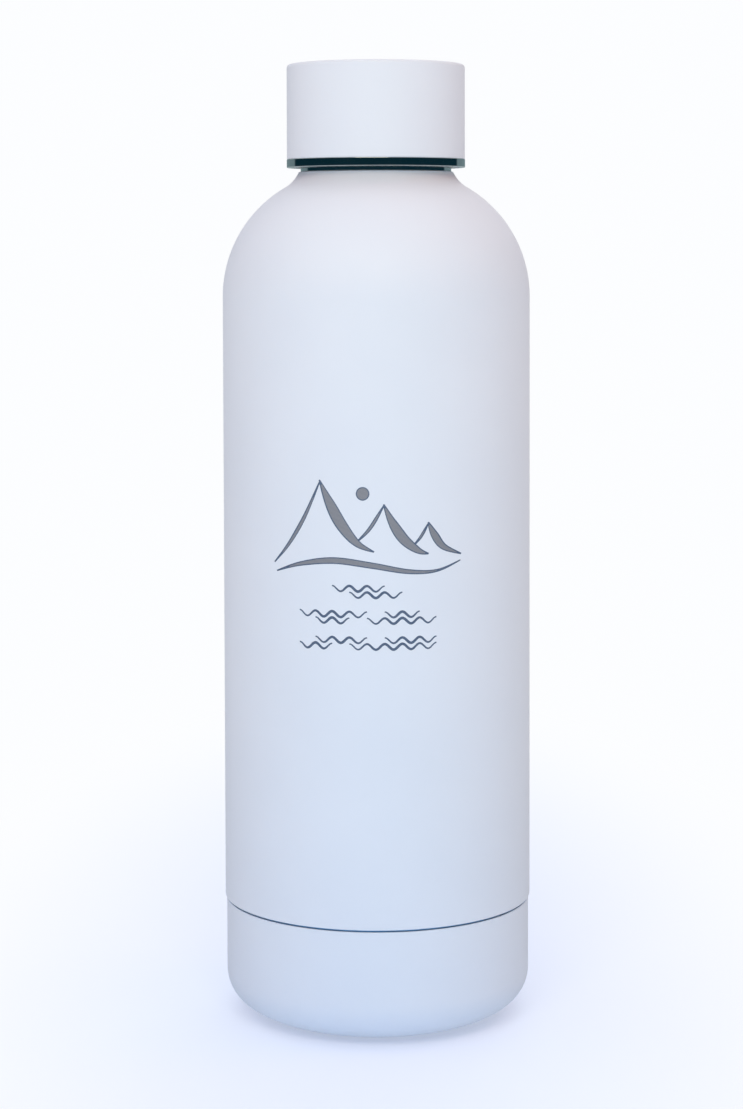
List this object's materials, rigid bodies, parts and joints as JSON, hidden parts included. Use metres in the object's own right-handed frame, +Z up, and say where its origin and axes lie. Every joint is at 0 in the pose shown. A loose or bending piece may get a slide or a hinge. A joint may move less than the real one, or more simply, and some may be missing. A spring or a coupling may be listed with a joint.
{
  "type": "insulated water bottle",
  "caption": "Slim double-wall insulated bottle with a matte coat, round shoulder, screw cap with a polished ring, and a seamed base cup.",
  "frame": {"origin": "centre of the foot, on the surface that the bottle stands on", "axes": "+Z up the bottle's axis from foot to cap; +X and +Y across it, with the marked face towards -Y"},
  "size_m": [0.071, 0.071, 0.22],
  "materials": {
    "soft_coat": "matte",
    "polished_steel": "polished",
    "satin_steel": "satin",
    "plain_steel": "satin",
    "copper_foil": "satin",
    "getter_powder": "matte",
    "sealing_glass": "gloss",
    "adhesive": "satin",
    "silicone": "satin",
    "cap_plastic": "satin",
    "foam": "matte"
  },
  "bodies": {
    "bottle": {"outer_shell": "soft_coat", "inner_wall": "satin_steel", "inner_base": "satin_steel", "neck_collar": "polished_steel", "radiation_foil": "copper_foil", "vacuum_base": "plain_steel", "getter_cup": "plain_steel", "getter_pellet": "getter_powder", "sealing_bead": "sealing_glass", "base_adhesive": "adhesive", "base_cup": "soft_coat", "foot_pad": "silicone"},
    "seal": {"mouth_gasket": "silicone"},
    "cap": {"cap_shell": "soft_coat", "cap_liner": "cap_plastic", "cap_ring": "polished_steel", "cap_foam": "foam", "insulation_cover": "cap_plastic"}
  },
  "joints": [
    {"name": "cap_lift", "type": "slide", "parent": "bottle", "child": "seal", "axis": [0, 0, 1], "range_m": [0, 0.0201]},
    {"name": "cap_turn", "type": "hinge", "parent": "seal", "child": "cap", "pos_m": [0, 0, 0.2], "axis": [0, 0, 1], "range_deg": [0, 1800]}
  ],
  "couplings": [
    {"joint": "cap_lift", "follows": "cap_turn", "m_per_rad": 0.00063662}
  ]
}
